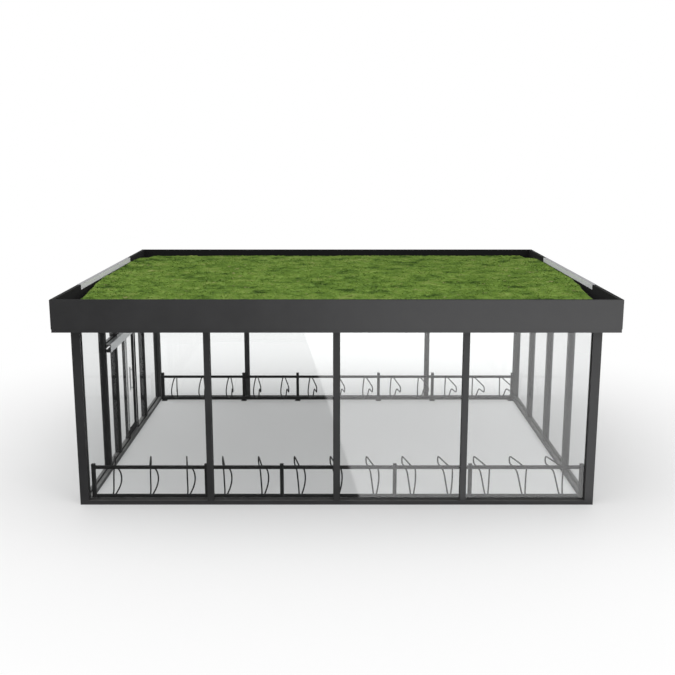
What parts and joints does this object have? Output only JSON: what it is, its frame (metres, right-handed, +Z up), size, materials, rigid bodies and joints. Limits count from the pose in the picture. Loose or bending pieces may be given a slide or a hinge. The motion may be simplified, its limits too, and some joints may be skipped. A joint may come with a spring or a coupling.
{
  "type": "bike shelter",
  "caption": "Flat-roofed glazed bike shelter with a planted roof, dark posts, two rows of wheel holders and a sliding side door.",
  "frame": {"origin": "on the ground at the middle of the plan", "axes": "+X along the front wall, +Y from the front wall to the rear wall, +Z up"},
  "size_m": [8.24, 6.57, 3.199],
  "materials": {
    "frame_paint": "satin anthracite powder coat",
    "glass": "clear toughened glass",
    "aluminium": "pale anodised",
    "galvanised_sheet": "galvanised ribbed sheet",
    "drainage_board": "black studded board",
    "growing_layer": "mineral growing medium",
    "plants": "low green plant mat"
  },
  "bodies": {
    "shelter": {"front_base_rail": "frame_paint", "rear_base_rail": "frame_paint", "left_base_rail": "frame_paint", "right_base_rail": "frame_paint", "front_left_post": "frame_paint", "front_right_post": "frame_paint", "rear_left_post": "frame_paint", "rear_right_post": "frame_paint", "front_mullions": "frame_paint", "rear_mullions": "frame_paint", "left_mullions": "frame_paint", "right_mullions": "frame_paint", "door_jamb": "frame_paint", "transom_mullion": "frame_paint", "front_glass": "glass", "rear_glass": "glass", "left_glass": "glass", "right_glass": "glass", "front_beam": "frame_paint", "rear_beam": "frame_paint", "left_beam": "frame_paint", "right_beam": "frame_paint", "roof_joists": "frame_paint", "front_fascia": "frame_paint", "rear_fascia": "frame_paint", "left_fascia": "frame_paint", "right_fascia": "frame_paint", "roof_deck": "galvanised_sheet", "drainage_board": "drainage_board", "growing_layer": "growing_layer", "plant_mat": "plants", "left_parapet_strip": "aluminium", "right_parapet_strip": "aluminium", "front_rack_posts": "frame_paint", "front_rack_rails": "frame_paint", "front_wheel_holders": "frame_paint", "rear_rack_posts": "frame_paint", "rear_rack_rails": "frame_paint", "rear_wheel_holders": "frame_paint", "door_track_housing": "aluminium", "door_guide": "frame_paint"},
    "door": {"door_leaf_frame": "frame_paint", "door_pane": "glass", "door_hangers": "aluminium", "door_handle": "aluminium"}
  },
  "joints": [
    {"name": "door_slide", "type": "slide", "parent": "shelter", "child": "door", "axis": [0, -1, 0], "range_m": [0, 0.67]}
  ]
}
